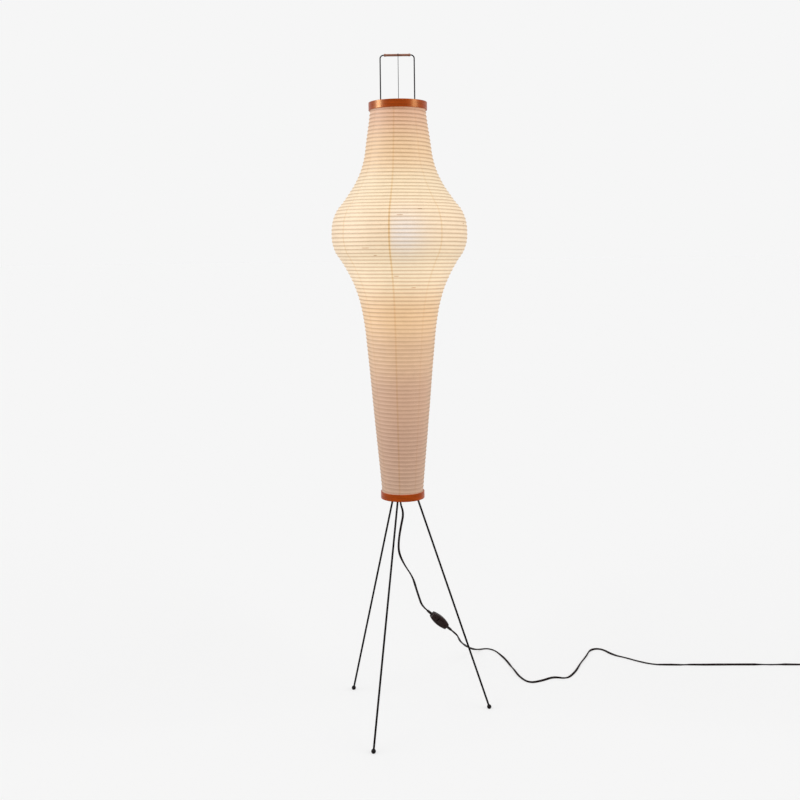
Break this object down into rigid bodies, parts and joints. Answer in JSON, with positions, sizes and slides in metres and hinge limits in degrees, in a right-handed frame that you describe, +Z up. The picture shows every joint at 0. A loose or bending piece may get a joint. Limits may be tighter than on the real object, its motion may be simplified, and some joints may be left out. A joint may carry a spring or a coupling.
{
  "type": "floor lamp",
  "caption": "Tall paper lantern on three splayed wire legs, with a lacquered ring at each end, a wire bow on top and a flex with an in-line switch.",
  "frame": {"origin": "on the floor, on the lantern's vertical axis", "axes": "+Z up, +X to the right and -Y towards the front; the flex runs off to the right"},
  "size_m": [1.5248, 0.7289, 1.85],
  "materials": {
    "black_steel": "satin black paint on steel rod and wire",
    "zinc_steel": "zinc-plated small steel",
    "foot_plastic": "black moulded ball",
    "lacquered_wood": "orange-brown lacquer on bent wood",
    "cane_grip": "brown cane sleeve",
    "washi_paper": "warm white washi over a bamboo rib",
    "holder_plastic": "black thermoset",
    "holder_ceramic": "unglazed ceramic",
    "brass": "bare brass",
    "bulb_opal": "opal glass",
    "bulb_metal": "bare aluminium",
    "flex_rubber": "black-brown flex sheath",
    "relief_rubber": "soft moulded rubber",
    "switch_plastic": "dark brown moulded plastic",
    "plug_plastic": "dark moulded plastic"
  },
  "bodies": {
    "lamp": {"ball_feet": "foot_plastic", "bottom_ring": "lacquered_wood", "bow": "black_steel", "bow_grip": "cane_grip", "bow_nuts": "zinc_steel", "clip_screws": "zinc_steel", "cord_coil": "flex_rubber", "cord_gland": "relief_rubber", "cord_lower": "flex_rubber", "cord_tie": "relief_rubber", "cord_upper": "flex_rubber", "hanger_wire": "black_steel", "holder_cap": "holder_plastic", "holder_contact": "brass", "holder_core": "holder_ceramic", "holder_shell": "holder_plastic", "holder_thread": "brass", "hub_grub_screws": "zinc_steel", "inner_lead": "flex_rubber", "leg_front": "black_steel", "leg_hub": "black_steel", "leg_rear": "black_steel", "leg_right": "black_steel", "paper_shade": "washi_paper", "plug_body": "plug_plastic", "plug_pins": "brass", "plug_relief": "relief_rubber", "ring_clips": "black_steel", "rocker_pin": "zinc_steel", "saddle_bar": "black_steel", "stem_nuts": "zinc_steel", "stem_tube": "zinc_steel", "switch_base": "switch_plastic", "switch_contacts": "brass", "switch_cover": "switch_plastic", "switch_relief_lower": "relief_rubber", "switch_relief_upper": "relief_rubber", "switch_screws": "zinc_steel", "top_crossbar": "black_steel", "top_ring": "lacquered_wood"},
    "bulb": {"bulb_glass": "bulb_opal", "bulb_cap": "bulb_metal"},
    "rocker": {"switch_rocker": "switch_plastic"}
  },
  "joints": [
    {"name": "bulb_turn", "type": "hinge", "parent": "lamp", "child": "bulb", "pos_m": [0, 0, 1.3], "axis": [0, 0, 1], "continuous": true},
    {"name": "rocker_tilt", "type": "hinge", "parent": "lamp", "child": "rocker", "pos_m": [0.10427, 0.16401, 0.20627], "axis": [0.6971, 0.0003, 0.717], "range_deg": [-16, 0]}
  ]
}
